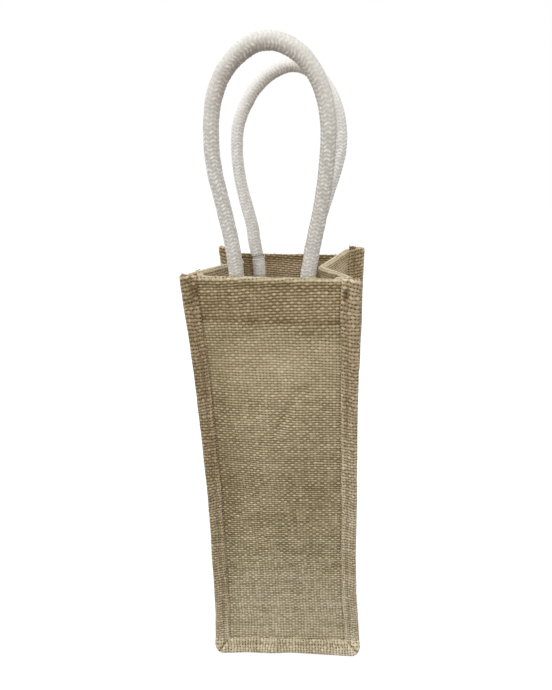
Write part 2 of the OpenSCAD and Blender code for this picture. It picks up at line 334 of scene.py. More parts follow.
def clothMarks(a, z, seed, inside, tone=0.0, patches=()):
    # what the jute material reads at each point; a panel's patches and the painted shade beside its seams show, the
    # side strip has none
    t, at = juteTones, juteTones["at"]
    warm, even, crisp = t["warm"], t["even"], t["crisp"]
    hem, foot, roll = after(z, *at["hem"]), 1 - after(z, *at["foot"]), after(z, *at["roll"])
    # darker along the hem's stitch row: painted shade
    row = t["hemRow"][0] + t["hemRow"][1] * ripple(a, 0, (40, 18), seed + 9)
    value = t["plain"] + tone + t["uneven"] * (1 - 0.5 * foot) * ripple(a, z, (90, 45, 24), seed)
    # the rolled rim lighter: painted highlight
    value = value + t["hem"] * hem + t["foot"] * foot + t["floor"] * (1 - after(z, *at["floor"])) + t["roll"] * roll
    # darker just below the rolled rim: painted shade
    # the hem's inner face lighter: painted light
    value = value + row * hump(z, *at["hemRow"]) + t["underRoll"] * hump(z, *at["underRoll"]) + t["inside"] * inside
    if patches:
        value = value + places(a, z, patches)
        # darker beside the side and bottom bindings: painted shade
        value = value + t["sideSeam"] * hump(np.abs(a), *at["sideSeam"])
        value = value + t["bottomSeam"] * hump(z, *at["bottomSeam"])
    shares = {"plain": 1, "hem": hem, "foot": foot, "roll": roll, "inside": inside}
    clear = crisp["foot"] * (1 - after(z, *at["crispFoot"])) + crisp["underHem"] * hump(z, *at["crispUnderHem"])
    level = even["plain"] + even["underHem"] * hump(z, *at["evenUnderHem"]) + even["roll"] * roll
    level = level + even["foot"] * (1 - after(z, *at["evenFoot"]))
    marks = {
        "tone": value, "crisp": clear + crisp["roll"] * roll,
        "warm": np.clip(sum(warm[word] * share for word, share in shares.items()), 0, 1),
        "even": level + even["uneven"] * ripple(a, z, (70, 30), seed + 5),
    }
    return {word: np.broadcast_to(values, value.shape) for word, values in marks.items()}


# measures of the bindings
binding = {
    "inner": 49.2, "width": 12.3, "cornerRadius": 8.0, "bias": 0.26, "thick": 1.2, "half": 2.45, "stitchIn": 4.4,
    "stitchDip": 0.4, "puff": 0.3, "mitre": 0.85, "mitreWay": (52, 44), "standUp": (2.2, 3.6), "topRound": 2.2,
    "uneven": 0.22, "edgeWaves": (0.5, 0.25), "edgeWavesUp": (20, 20), "mitreHollow": 0.3,
    "pinch": (0.12, 0.14),  # how thin its top ends get, and how much narrower
    # how light it is, and how much lighter or darker its parts are
    # left and right: the left band darker and the lower right one lighter, painted shade and painted light
    "tone": 0.536, "patchy": 0.04, "foot": 0.034, "lower": 0.04, "right": 0.08, "left": (-0.04, -0.04, 0.05),
    # cutEdge: painted highlight on the raised inner edge; foldEdge: painted sheen on the fold; stitchLine: painted
    # shade along the stitches
    # topEnd: painted light on the rounded top end, and darker a little below it; mitreTones: painted highlight on the
    # mitre's ridge and painted shade in its fold
    "cutEdge": 0.08, "foldEdge": 0.05, "stitchLine": -0.10, "topEnd": (0.17, -0.10), "mitreTones": (0.12, -0.36),
    # warm's last number greys the fold, part of its painted sheen
    "warm": (0.02, 0.20, 0.40, 0.2, -0.8), "even": (0.46, 0.14, 0.12, 0.08), "crisp": -0.18,
    # where those are: start and length of a change, or middle and half width of a stripe
    "at": {
        "left": ((100, 100), (10, 90)), "foot": (6, 12), "lower": (0, 160), "right": (200, 100), "fold": (10.3, 1.5),
        "cut": 1.6, "mitre": ((12, 9), (-1, 4.5)), "topEnd": ((0, 1.9), (4.3, 1.0)), "crisp": (180, 100),
        "warm": ((8, 60), (110, 200), (14, 60)), "even": ((80, 160), (8, 10)),
    },
    # darker places of the front and the back one: across, up, half width, half height, how much; the first of the
    # front is painted shade for a pinched fold at the right band's top
    "shades": ([(52.4, 341, 1.6, 3.4, 0.42), (-51.5, 341, 2.6, 4.5, 0.20), (-49.8, 344, 0.9, 5.0, 0.15)], []),
}


# front and back panel
def makePanel(name, face, node):
    t, edge = wall["cloth"], wall["edge"]
    ups, offs, run, down = rollPath(t / 2, -t / 2 - wall["layerGap"], wall["roll"])
    near, far = wall["columns"]  # on both sides of the hem's end
    a = np.r_[np.linspace(-edge, -far, 7), np.linspace(-near, near, 58), np.linspace(far, edge, 7)]
    inside = np.abs(a) < wall["hemHalf"]
    cut = rimUp - np.minimum(down, 1.5) - down * 0.01  # beside the hem the cloth ends inside the binding
    ups = np.where((down[:, None] > 0) & ~inside, cut[:, None], ups[:, None])
    # the corners are trimmed round, inside the binding
    r = binding["cornerRadius"]
    over = np.abs(a) - (binding["inner"] + binding["width"] - r)
    under = r + wall["band"] - binding["width"] - ups
    kept = np.maximum(over, under) / np.maximum(np.hypot(over, under), 1e-6)
    trim = 1 - np.where((over > 0) & (under > 0), kept, 1.0)
    straight = wallPoint(a - np.sign(a) * over * trim, ups + under * trim, offs[:, None], face)
    z = straight[:, :, 2].copy()
    seam = hump(z, wall["hemRow"], 1.3) * inside
    straight[:, :, 1] += face * wall["seamDip"] * seam * np.where(offs > 0, -1, 1)[:, None]
    straight[:, :, 2] += wall["ruffle"] * ripple(a, z, (37, 16), 77 + face) * after(z, *wall["ruffleUp"])
    edge, fade = wall["backSinkSide"]
    sink = wall["backSink"] * (face > 0)
    straight[:, :, 2] -= sink * after(z, *wall["backSinkUp"]) * ease((edge - np.abs(a)) / fade)
    if face > 0:  # its columns run the other way, so that its outside faces out
        straight, a = straight[:, ::-1], a[::-1]
    z = straight[:, :, 2]
    low, high = wall["weftSlope"]  # the weft runs a little askew
    slope = low + high * after(z, *wall["weftSlopeUp"])
    uv = np.stack([a + 0 * z, run[:, None] - a * slope], -1)
    patches = juteTones["front" if face < 0 else "back"]
    marks = clothMarks(a, z, 21 + face, after(down, 1, 3)[:, None], patches=patches)
    piece = clothShell(name, settle(straight), t, uv, marks)
    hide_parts(node)
    return piece


frontPanel = makePanel("frontPanel", -1, "front_panel")
backPanel = makePanel("backPanel", 1, "back_panel")
print("panels made")

# sides and base: one strip, creased down both sides; pairs are for the right and the left side
strip = {
    "creaseUp": [0, 11, 60, 150, 250, 310, 352],
    "creases": ([0, 0, 1.6, 5.2, 9.6, 13.4, 17.0], [0, 0, 1.4, 4.6, 8.2, 13.0, 17.6]),
    "dips": (3.4, 0.3), "spreads": (8.6, 9.2), "half": 49.4, "fold": 49.2,
    "corner": 3.0, "baseSag": 2.5, "flange": 11.0, "roll": 1.9, "floorUp": 10.9, "spread": 49.3, "creaseSoft": 0.04,
    "behind": (-46.6, 1.1), "behindFade": 45.5,  # where the spread behind the bands begins, and how it dies away
    "tucks": (0.72, 220, 0.8),  # flanges are narrower round the corners, and along the floor
    # start and length up the bag: the spread, the dip, the paler mouth and its darker rim
    "spreadUp": (298, 48), "dipUp": (300, 48), "tones": (0.23, -0.15), "tonesUp": ((300, 40), (345, 3)),
}


def creaseShape(w, z, right):
    # how far the side leans in and dips at w from its crease, spreading out behind the front bands at the mouth
    leanIn = np.where(right, *[track(strip["creaseUp"], crease, z) for crease in strip["creases"]])
    soft = strip["creaseSoft"]
    share = np.clip(1 - np.sqrt((w / strip["half"]) ** 2 + soft ** 2) + soft, 0, 1)
    behind = after(w, *strip["behind"]) * np.clip(-w / strip["behindFade"], 0, 1) * after(z, *strip["spreadUp"])
    dip = np.where(right, *strip["dips"]) * after(z, *strip["dipUp"])
    return leanIn * share - np.where(right, *strip["spreads"]) * behind, dip * share


def makeStrip():
    t, r, seam, half = wall["cloth"], strip["corner"], wall["seam"], strip["half"]
    ups, offs, run, down = rollPath(-t / 2, -1.5 * t - wall["layerGap"], strip["roll"])
    baseUp, inX = upOf(strip["floorUp"]), seam - t / 2
    keep = (ups > upOf(strip["floorUp"] + 0.1) + r) | (down > 0)
    bend = np.linspace(0, math.pi / 2, 7)[1:-1]
    # half of the strip, from the middle of the base to the end of the right hem: across and up on the panel,
    # which way is out there, and the depth in the hem
    rows = [(x, baseUp, 0, -1, 0) for x in np.linspace(0, inX - r, 20)[1:]]
    for w in bend:
        s, c = math.sin(w), math.cos(w)
        rows.append((inX - r * (1 - s), baseUp + r * (1 - c), s, -c, 0))
    rows += [(seam + o, u, 1, 0, d) for u, o, d in zip(ups[keep], offs[keep], down[keep])]
    rows = np.array(rows, float)
    rows = np.concatenate([rows[::-1] * [-1, 1, -1, 1, 1], [(0, baseUp, 0, -1, 0)], rows])
    a, b, na, nb, down = rows.T[..., None]
    run = runOf(a[:, 0], b[:, 0])
    run = run - run[-1] / 2
    flange = np.linspace(1.4, strip["flange"], 6) + strip["fold"]
    w = np.r_[-flange[::-1], -48.2, -47.2, np.linspace(-46.6, -45.3, 10), -44.9, np.linspace(-44.0, 48.0, 47), flange]
    z = wallPoint(a, b, 0, 1)[..., 2]
    leanIn, dip = creaseShape(w, z, a > 0)
    onWall = np.abs(na) > 0.99
    sag = strip["baseSag"] * (1 - (a / 49) ** 2).clip(0, 1) * ~onWall * (1 - (w / half) ** 2).clip(0, 1)
    x = a - np.sign(a) * leanIn * onWall
    grid = np.stack(np.broadcast_arrays(x, w * strip["spread"] / half, z - dip * onWall - sag), -1).copy()
    # flanges go out into the bindings
    tuck, size, floorTuck = strip["tucks"]
    atCorner = np.exp(-((np.abs(a) - seam) ** 2 + (b - baseUp) ** 2) / size)
    for side in (-1, 1):
        cols = np.where(w * side > 49)[0]
        out = (np.abs(w[cols]) - strip["fold"]) * (1 - tuck * atCorner) * np.where(onWall, 1, floorTuck)
        fb = np.where(down > 0, np.maximum(b, rimUp - 1.5 - 0.01 * down), b + nb * out)
        fa = np.where(down > 0, np.sign(a) * (seam - 0.8 + out), a + na * out)
        grid[:, cols] = wallPoint(fa, fb, -t * 0.55, side)
    grid = settle(grid)
    steps = np.linalg.norm(np.diff(grid, axis=1), axis=2)
    across = np.cumsum(np.concatenate([0 * a, steps], 1), axis=1)
    across = across - across[:, [int(np.argmin(np.abs(w)))]]
    uv = np.stack(np.broadcast_arrays(across, run[:, None]), -1)
    tone = sum(much * after(z, *up) for much, up in zip(strip["tones"], strip["tonesUp"]))
    marks = clothMarks(w + 300, z, 33, after(down, 1, 3), tone)
    marks = {word: values[:, ::-1] for word, values in marks.items()}
    piece = clothShell("gussetStrip", grid[:, ::-1], t, uv[:, ::-1], marks)
    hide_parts("left_gusset", "right_gusset", "base_panel")
    return piece


gussetStrip = makeStrip()
print("side strip made")


# bindings: a folded strip down one side, along the bottom and up the other, mitred at its corners
def bindingSection():
    # outer and inner line of the folded strip, from its cut edge outside over the fold to its cut edge inside:
    # distances from the inner edge, and offsets
    w, h, thick = binding["width"], binding["half"], binding["thick"]
    c = np.r_[0, 0.35, 1.0, 2.2, 3.4, binding["stitchIn"], 5.6, 7.0, 8.4, w - h]
    rise = np.r_[-0.9, -0.15, 0.2, 0.1, 0, 0, 0, 0, 0, 0]
    rise = rise + binding["puff"] * np.sin(math.pi * np.clip((c - 1) / (w - 1), 0, 1))
    rise = rise - binding["stitchDip"] * hump(c, binding["stitchIn"], 0.9)
    turn = np.linspace(0, math.pi, 9)[1:-1]
    outC = np.r_[c, w - h + h * np.sin(turn), c[::-1]]
    outO = np.r_[h + rise, h * np.cos(turn), -(h + rise)[::-1]]
    tangent = unit(np.gradient(np.stack([outC, outO], 1), axis=0))
    inC, inO = np.maximum(outC + tangent[:, 1] * thick, 0.1), outO - tangent[:, 0] * thick
    return outC, outO, inC, np.where(outO > 0, np.maximum(inO, 0.05), np.minimum(inO, -0.05))


def bindingRows(top):
    # lines across the strip, from its inner edge to its fold, down the left side, round the corner, along the
    # bottom and up the right side; and how many of them are the bottom's on each side of the middle
    w, r, inner, innerUp = binding["width"], binding["cornerRadius"], binding["inner"], wall["band"]
    ups = np.r_[top - np.array([0, 0.12, 0.4, 0.85, 1.45, 2.2]), np.linspace(top - 3.4, innerUp, 116)]
    side = [(-inner, u, -inner - w, u) for u in ups]
    legs = np.linspace(0, w - r, 11)[1:]
    edge = [(0, w - s) for s in legs]
    edge += [(r * (1 - math.cos(q)), r * (1 - math.sin(q))) for q in np.linspace(0, math.pi / 2, 15)[1:]]
    edge += [(r + s, 0) for s in legs[:-1]]
    fan = [(-inner, innerUp, p - inner - w, q + innerUp - w) for p, q in edge]
    along = [(x, innerUp, x, innerUp - w) for x in np.linspace(-inner, 0, 24)[:-1]]
    half = np.array(side + fan + along, float)
    rows = np.concatenate([half, [(0, innerUp, 0, innerUp - w)], half[::-1] * [-1, 1, -1, 1]])
    return rows, len(along) + len(fan) / 2


def makeBinding(name, face, node):
    w, h, inner, innerUp = binding["width"], binding["half"], binding["inner"], wall["band"]
    top = rimUp + binding["standUp"][face > 0]
    rows, bottomHalf = bindingRows(top)
    inA, inB, outA, outB = rows.T[..., None]
    reach = np.hypot(outA - inA, outB - inB)
    outC, outO, inC, inO = bindingSection()

    def shareAt(c):
        # the fold keeps its round edge on the longer lines of the corner
        return np.where(c <= w - h, c * (reach - h) / (w - h), reach - w + c) / reach

    corner = (np.abs(np.abs(inA) - inner) < 1e-6) & (np.abs(inB - innerUp) < 1e-6)
    way = np.degrees(np.arctan2(inB - outB, np.abs(outA) - np.abs(inA))) - np.where(inA < 0, *binding["mitreWay"])
    mitre = binding["mitre"] * after(way, -2, 5) * hump(np.maximum(way, 4), 4, 16)
    mitre = mitre - binding["mitreHollow"] * hump(way, -5, 4)
    # the top ends are pinched shut and rounded
    shut = np.clip((top - inB) / binding["topRound"], 0, 1)
    least, narrower = binding["pinch"]
    shut = least + (1 - least) * np.sqrt(shut * (2 - shut))
    layers = []
    for c, o in ((outC, outO), (inC, inO)):
        s = shareAt(c) * (1 - narrower * (1 - shut))
        a, b = inA + (outA - inA) * s, inB + (outB - inB) * s
        uneven = binding["uneven"] * ripple(a * 2.1, b * 2.1, (16, 9), 40 + face) * (np.abs(o) > 1.3)
        o = o + np.sign(o) * (mitre * corner * np.clip(s * 3, 0, 1) * (1 - after(s, 0.68, 0.27)) + uneven)
        long, short = binding["edgeWaves"]
        wave = long * ripple(b, 0, (60, 33), 50 + face) + short * ripple(b, 0, (12,), 60 + face)
        a = a + np.sign(a) * wave * (np.abs(inA) > 49) * (1 - s) * after(b, *binding["edgeWavesUp"])
        layers.append(settle(wallPoint(a, b, o * shut, face)))
    n, k = layers[0].shape[:2]
    flip = face > 0
    faces = [gridFaces(n, 2 * k, closeCols=True, flip=flip)]
    i = np.arange(k - 1)
    for row in (0, n - 1):
        cap = row * 2 * k + np.stack([i, i + 1, 2 * k - 2 - i, 2 * k - 1 - i], -1)
        faces.append(cap if (row == 0) == flip else cap[:, ::-1])
    # cloth coordinates: across the strip and along it, changing over at the mitre
    share = shareAt(outC)
    flatA, flatB = inA + (outA - inA) * share, inB + (outB - inB) * share
    corners = np.concatenate([np.ravel(f) for f in faces])
    rowOf, colOf = corners // (2 * k), corners % (2 * k)
    colOf = np.where(colOf < k, colOf, 2 * k - 1 - colOf)
    a, b = flatA[rowOf, colOf], flatB[rowOf, colOf]
    bottom = np.abs(np.repeat(rowOf.reshape(-1, 4).mean(1), 4) - (n - 1) / 2) < bottomHalf
    across = np.where(bottom, innerUp - b, np.abs(a) - inner)
    across = np.where(colOf <= k // 2, across, 2 * runOf(outC, outO)[k // 2] - across)
    length = np.where(bottom, a * 1.11 + 400, b + 37 * face + binding["bias"] * across)
    uv = np.stack([across + 3.1 * face, length], -1)
    piece = makePiece(name, np.concatenate([layers[0], layers[1][:, ::-1]], 1), faces, uv, {
        word: np.concatenate([values, values[:, ::-1]], 1)
        for word, values in bindingMarks(flatA, flatB, face, share * reach, top - inB, way, corner).items()
    })
    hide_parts(node)
    flat = ((2 * w + 3) * mm, (2 * (top - innerUp) + 2 * inner + 4 * w) * mm)
    return piece


def bindingMarks(x, b, face, far, below, way, corner):
    # what the jute material reads: far from the inner edge, below the top end, and way from the mitre
    t, at = binding, binding["at"]
    z = settle(wallPoint(x, b, 0, face))[..., 2]
    left, right, atFold = x < -40, x > 40, after(far, *at["fold"])
    plain, upper, low = t["left"]
    leftTone = plain + upper * after(z, *at["left"][0]) + low * (1 - after(z, *at["left"][1]))
    tone = t["tone"] + t["patchy"] * ripple(x * 3, b, (60, 30), 70 + face) + t["foot"] * (1 - after(z, *at["foot"]))
    # the left band darker: painted shade
    tone = tone + t["lower"] * (1 - after(z, *at["lower"])) + leftTone * left
    # the lower right band lighter, painted light; the raised inner edge lighter, painted highlight
    tone = tone + t["right"] * right * (1 - after(z, *at["right"])) + t["cutEdge"] * (far < at["cut"])
    # the fold lighter, painted sheen; the stitch line darker, painted shade
    tone = tone + t["foldEdge"] * atFold + t["stitchLine"] * hump(far, t["stitchIn"], 0.7)
    # the mitre's ridge lighter and its fold darker: painted highlight and painted shade
    tone = tone + sum(much * hump(way, *spot) for much, spot in zip(t["mitreTones"], at["mitre"])) * corner
    # the rounded top end lighter, painted light, and darker a little below it
    tone = tone + sum(much * hump(below, *spot) for much, spot in zip(t["topEnd"], at["topEnd"]))
    # darker places; the first of the front is painted shade for a pinched fold
    for across, up, wide, high, much in t["shades"][face > 0]:
        tone = tone - much * np.exp(-((x - across) / wide) ** 4 - ((z - up) / high) ** 4)
    plain, low, high, onLeft, onFold = t["warm"]
    changes = [after(z, *spot) for spot in at["warm"]]
    warm = plain + low * changes[0] + high * changes[1] + onLeft * left * changes[2]
    plain, low, foot, uneven = t["even"]
    even = plain + low * (1 - after(z, *at["even"][0])) + foot * (1 - after(z, *at["even"][1]))
    even = even + uneven * ripple(x * 2, z, (50, 26), 90 + face)
    # the fold greyer, part of its painted sheen
    warm, crisp = warm * (1 + onFold * atFold), t["crisp"] * after(z, *at["crisp"])
    return {"tone": tone, "warm": warm, "even": even, "crisp": crisp}


frontBinding = makeBinding("frontBinding", -1, "front_binding")
backBinding = makeBinding("backBinding", 1, "back_binding")
print("bindings made")

# rope handles, each one rope from its sewn end over the crest to the other sewn end
ropes = {
    # centre line across and up, from the left sewn end to the right one, the rope's width along it,
    # how much painted light whitens its legs and its crest, and how much painted shade darkens its right leg
    "front": {
        "face": -1, "pale": (0.0, 0.06), "shade": 0.17,
        "widths": [10.5, 10.5, 10.1, 10.4, 11.1, 10.4, 10.1, 10.5, 10.5],
        "line": [
            (-22.8, 323.2), (-22.7, 334), (-22.7, 345), (-23.3, 354.6), (-26.0, 372.6), (-30.6, 399), (-34.0, 420),
            (-35.0, 438.5), (-32.5, 460.8), (-26.0, 474.8), (-17.0, 484.4), (-6.0, 490.8), (3.0, 492.2),
            (12.0, 490.0), (21.5, 484.4), (29.3, 475.4), (35.1, 463.2), (38.2, 448.5), (38.9, 434),
            (37.0, 413.2), (33.4, 393.5), (29.1, 372.9), (26.5, 355), (25.7, 345), (25.5, 334), (25.5, 323.2),
        ],
    },
    "back": {
        "face": 1, "pale": (0.48, 0.50), "shade": 0.0,
        "widths": [10.5, 10.5, 9.5, 10.0, 10.6, 10.0, 9.5, 10.4, 10.5],
        "line": [
            (-26.2, 323.2), (-26.0, 334), (-25.9, 343.5), (-27.1, 349), (-30.3, 368.6), (-35.2, 390.5), (-39.0, 412),
            (-40.1, 430), (-37.8, 448), (-31.0, 463.0), (-22.8, 474.2), (-12, 482.8), (-1, 487.2), (6, 488.1),
            (14, 486.0), (22.5, 480.4), (30.5, 471.2), (37.4, 457.3), (40.8, 441), (40.7, 427),
            (37.5, 412.5), (31.3, 393.8), (24.6, 375), (18.8, 355.6), (17.1, 345), (16.7, 334), (16.6, 323.2),
        ],
    },
}
ropeCut = {
    "diameter": 10.5, "sides": 54, "step": 0.36, "girth": 33, "inset": 43.15,
    "groove": (343.4, 345.3), "grooveDepth": 0.95,  # where the thread draws it in at the rim
    # the crest's whitening on its upper side is painted highlight
    "plaits": 6, "pitch": 2.5, "relief": 0.38, "chevron": 0.62, "wander": 0.20, "uneven": 0.10, "crestPaintedHighlight": 0.30,
    "crestFrom": (426, 42), "crestSmooth": (0.72, 0.7),  # where the bend begins, and how smooth it is drawn
    "pressed": (0.05, 0.10), "pressedBelow": (352, 14),  # how much wider and flatter the sewn ends are
    # where the painted light whitens the rope's ends and its crest, and where the painted shade of the right leg
    # begins
    "plump": 0.45, "ribs": (0.80, 0.30), "endsPale": (344, 4), "paleUp": (430, 480), "shadeFrom": (20, 12),
    "hinge": (0.05, 0.340, 0.3585),  # an offset and two heights over the rim, in metres, which makeRope reads but does not use
}


def ropeLine(rope):
    # centre line of the whole rope in the straight bag, in even steps
    knots = np.array(rope["line"], float)
    run = runOf(*knots.T)
    line = np.stack([track(run, knots[:, i], np.arange(0, run[-1], 0.5)) for i in (0, 1)], 1)
    for _ in range(90):
        line[1:-1] = line[1:-1] * 0.5 + (line[2:] + line[:-2]) * 0.25
    run = runOf(*line.T)
    even = np.linspace(0, run[-1], int(run[-1] / ropeCut["step"]))
    x, z = np.interp(even, run, line[:, 0]), np.interp(even, run, line[:, 1])
    return np.stack([x, np.full_like(x, rope["face"] * ropeCut["inset"]), z], 1), even


def makeRope(name, rope, nodes):
    line, run = ropeLine(rope)
    cut, face, sides, n = ropeCut, rope["face"], ropeCut["sides"], len(line)
    forward = unit(np.gradient(line, axis=0))
    outwards = np.array([0, 1.0, 0])
    across = unit(np.cross(np.broadcast_to(outwards, forward.shape), forward))
    turn = np.arange(sides) / sides
    spin, girth, height, runs = turn * math.tau, turn * cut["girth"], line[:, 2:], run[:, None]
    # herringbone braid: ribs that run up and down round the rope in turn
    leaf = (turn * cut["plaits"] * 2) % 1
    climb = np.where((np.floor(turn * cut["plaits"] * 2) % 2) == 0, leaf, 1 - leaf) * cut["chevron"]
    phase = (runs / cut["pitch"] + climb + cut["wander"] * ripple(runs, girth, (40, 18, 8), 3 + face)) % 1
    plump = 1 - cut["plump"] * np.abs(2 * leaf - 1) ** 3
    rib, unevenly = cut["ribs"]
    relief = np.sin(math.pi * phase) ** 0.8 * plump * (rib + unevenly * ripple(runs, girth, (7, 4), 13 + face))
    up = np.cos(spin) * across[:, 2:]  # 1 where the rope faces up, -1 where it faces down
    crest = after(height, *cut["crestFrom"])
    smooth, much = cut["crestSmooth"]
    relief = relief + (smooth - relief) * much * crest * ease((up + 0.5) / 0.9)  # the bend draws its outside tight
    edge, fade = cut["pressedBelow"]
    flat = ease((edge - height) / fade)  # sewn ends are pressed flat against the hem
    low, high = cut["groove"]
    groove = after(height, low - 0.35, 0.7) * (1 - after(height, high, 1.6))  # drawn in by the thread at the rim
    radius = track(np.linspace(0, run[-1], len(rope["widths"])), rope["widths"], runs) / 2
    radius = radius - cut["relief"] + cut["relief"] * relief + cut["uneven"] * ripple(runs, girth, (30, 12), 8)
    radius = (radius - cut["grooveDepth"] * groove)[..., None]
    wider, flatter = 1 + cut["pressed"][0] * flat[..., None], 1 - cut["pressed"][1] * flat[..., None]
    ring = np.cos(spin)[:, None] * across[:, None] * wider + np.sin(spin)[:, None] * outwards * flatter
    points = (line[:, None] + radius * ring).reshape(-1, 3)
    points = np.concatenate([points, line[[0, -1]] + forward[[0, -1]] * [[-1.2], [1.2]]])
    first = np.arange(sides)
    following, last = (first + 1) % sides, (n - 1) * sides
    caps = [np.stack([following, first, 0 * first + n * sides], 1)]
    caps.append(np.stack([first + last, following + last, 0 * first + n * sides + 1], 1))
    uv = np.stack(np.broadcast_arrays(girth, runs), -1).reshape(-1, 2)
    # painted light: the ends in the mouth are as pale as they can be, and the legs and crest paler by height
    edge, fade = cut["endsPale"]
    pale = np.maximum(ease((edge - height) / fade), np.interp(height, cut["paleUp"], rope["pale"]))
    # the front rope's right leg darker: painted shade
    darker = rope["shade"] * after(line[:, :1], *cut["shadeFrom"]) * after(height, 345, 20)
    # the relief mark darkens the braid's grooves, and the groove the thread draws in at the rim, as painted shade
    marks = {
        "relief": (relief * (1 - 0.8 * groove), 0.5),
        # painted light: the ends in the mouth, the legs and crest by height, and the crest's upper side whiter
        "paintedLight": (pale + cut["crestPaintedHighlight"] * crest * ease(up), 1),
        "under": (np.maximum(crest * ease((0.35 - up) / 1.1), darker), 0),  # painted shade: the underside of the bend, and the front rope's right leg, darker and browner
    }
    marks = {word: np.r_[values.ravel(), end, end] for word, (values, end) in marks.items()}
    faces = [gridFaces(n, sides, closeCols=True)] + caps
    piece = makePiece(name, settle(points), faces, np.concatenate([uv, [[0, 0], [0, run[-1]]]]), marks)
    path = settle(line[::6]) * mm
    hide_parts(*nodes)
    cut["diameter"] * mm
    y, low, high = cut["hinge"]
    face * y
    face * y
    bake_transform(piece)
    return piece


ropeNodes = ["handle_braid", "handle_core", "left_rope_end", "right_rope_end", "left_end_core", "right_end_core"]
frontRope = makeRope("frontRope", ropes["front"], ["front_" + word for word in ropeNodes])
backRope = makeRope("backRope", ropes["back"], ["back_" + word for word in ropeNodes])

# stitching
thread = {
    "pitch": 5.2, "length": 4.1, "radius": 0.34, "rise": 0.05, "sides": 6, "wobble": 0.25, "lengths": (0.92, 1.05),
}


def along(points, run, at):
    return np.stack([np.interp(at, run, points[:, i]) for i in range(3)], -1)


def stitchRow(points, outs):
    # short sunk stitches along a row of points, each a small tube with tapered ends
    length, radius, run = thread["length"], thread["radius"], runOf(*points.T)
    starts = np.arange(0.6, run[-1] - length, thread["pitch"])
    starts = starts + dice.uniform(-thread["wobble"], thread["wobble"], len(starts))
    share = np.linspace(0, 1, 7)
    lift = np.sin(math.pi * share) ** 0.6
    at = starts[:, None] + share * length * dice.uniform(*thread["lengths"], (len(starts), 1))
    centre, out = along(points, run, at), unit(along(outs, run, at))
    centre = centre + out * ((thread["rise"] + radius * 0.6) * lift - radius * 0.6)[:, None]
    way = unit(np.gradient(centre, axis=1))
    cross = unit(np.cross(way, out))
    return tubes(centre, cross, np.cross(cross, way), radius * (0.45 + 0.55 * lift)[None], thread["sides"])


def joinRows(name, rows, nodes):
    points, quads, ends, start = [], [], [], 0
    for p, q, e in rows:
        points.append(p), quads.append(q + start), ends.append(e + start)
        start += len(p)
    piece = makePiece(name, np.concatenate(points), [np.concatenate(quads), np.concatenate(ends)])
    if nodes:
        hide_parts(*nodes)
    return piece


def wallRow(a, b, off, face, outSign):
    base = settle(wallPoint(a, b, off, face))
    return stitchRow(base, settle(wallPoint(a, b, off + outSign * 2.0, face)) - base)


def bindingStitches(name, face, node):
    c, low = binding["inner"] + binding["stitchIn"], wall["band"] - binding["stitchIn"]
    ups = np.linspace(rimUp - 1, low, 300)
    a = np.r_[np.full(300, -c), np.linspace(-c, c, 100)[1:-1], np.full(300, c)]
    b = np.r_[ups, np.full(98, low), ups[::-1]]
    level = binding["half"] + binding["puff"] * 0.6 - binding["stitchDip"]
    return joinRows(name, [wallRow(a, b, sign * level, face, sign) for sign in (1, -1)], [node])


def hemStitches(name, face, node):
    a, b = np.linspace(-46.5, 46.5, 120), np.full(120, upOf(wall["hemRow"]))
    outer, inner = wall["cloth"] - wall["seamDip"], -wall["cloth"] - wall["layerGap"] + wall["seamDip"]
    return joinRows(name, [wallRow(a, b, outer, face, 1), wallRow(a, b, inner, face, -1)], [node])


def sideHemStitches(name, side, node):
    w, z = np.linspace(-44, 46, 120), wall["hemRow"]
    leanIn, dip = creaseShape(w, np.full(120, z), np.full(120, side > 0))
    rows = []
    for off, out in ((0.0, 1), (-2 * wall["cloth"] - wall["layerGap"], -1)):
        place = np.stack([side * (wall["seam"] + off - leanIn), w, z - dip], 1)
        rows.append(stitchRow(settle(place), settle(place + [side * out * 2.0, 0, 0]) - settle(place)))
    return joinRows(name, rows, [node])


frontBindingStitches = bindingStitches("frontBindingStitches", -1, "front_binding_stitching")
backBindingStitches = bindingStitches("backBindingStitches", 1, "back_binding_stitching")
frontHemStitches = hemStitches("frontHemStitches", -1, "front_hem_stitching")
backHemStitches = hemStitches("backHemStitches", 1, "back_hem_stitching")
leftHemStitches = sideHemStitches("leftHemStitches", -1, "left_hem_stitching")
rightHemStitches = sideHemStitches("rightHemStitches", 1, "right_hem_stitching")

tack = {
    # turns of thread low on the sewn end and at the rim: heights, how many, thickness, how deep they are sunk
    "turns": ((328.7, 330.1, 3, 0.22, 0.30), (343.7, 344.9, 4, 0.27, ropeCut["grooveDepth"] + 0.05)),
    "wider": 1.05, "flatter": 0.92, "legs": 5.6,
}


def ropeTack(name, rope, side, node):
    # turns of thread over the rope, back into the hem on both sides of it
    knots = np.array(rope["line"] if side < 0 else rope["line"][::-1], float)
    spin = np.linspace(0, math.pi, 24)
    rows = []
    for low, high, count, radius, sunk in tack["turns"]:
        r = ropeCut["diameter"] / 2 - sunk + radius * 0.5
        for z in np.linspace(low, high, count):
            x, wide = np.interp(z, knots[:6, 1], knots[:6, 0]), r * tack["wider"]
            up = np.full(24, z) + dice.uniform(-0.1, 0.1)
            arc = np.stack([x + wide * np.cos(spin), -np.sin(spin) * r * tack["flatter"], up], 1)
            place = np.concatenate([[[x + wide, tack["legs"], z]], arc, [[x - wide, tack["legs"], z]]])
            place[:, 1] = rope["face"] * (ropeCut["inset"] + place[:, 1])
            rows.append(threadLoop(settle(place), radius))
    return joinRows(name, rows, [node])


def threadLoop(points, radius):
    run = runOf(*points.T)
    centre = along(points, run, np.linspace(0, run[-1], 40))
    way = unit(np.gradient(centre, axis=0))
    cross = unit(np.cross(way, [0.0, 0.0, 1.0]))
    return tubes(centre[None], cross[None], np.cross(cross, way)[None], np.full((1, 40), radius), thread["sides"])


